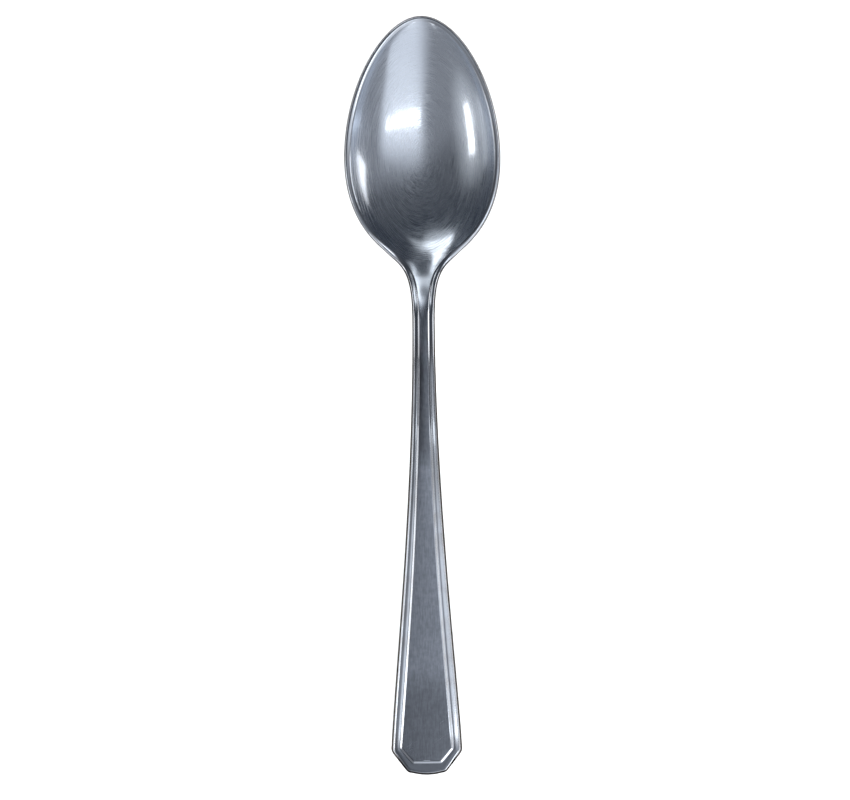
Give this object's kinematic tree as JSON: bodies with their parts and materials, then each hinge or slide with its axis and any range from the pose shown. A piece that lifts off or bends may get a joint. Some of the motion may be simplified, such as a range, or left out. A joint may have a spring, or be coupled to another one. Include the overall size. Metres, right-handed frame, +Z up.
{
  "type": "teaspoon",
  "caption": "One-piece stainless steel teaspoon with an egg-shaped bowl, a slender neck and a flared handle with a raised, bevelled panel and clipped end corners.",
  "frame": {"origin": "on the table, below the middle of the spoon's length and width, with the spoon lying bowl up", "axes": "+Y along the spoon towards the tip of the bowl, +Z up out of the bowl, +X to the right seen from above with the tip away"},
  "size_m": [0.0308, 0.15, 0.014],
  "materials": {
    "steel": "polished lip, bevels and edges; fine brushing along the handle panel and in the bowl"
  },
  "bodies": {
    "root": {"teaspoon": "steel"}
  },
  "joints": []
}
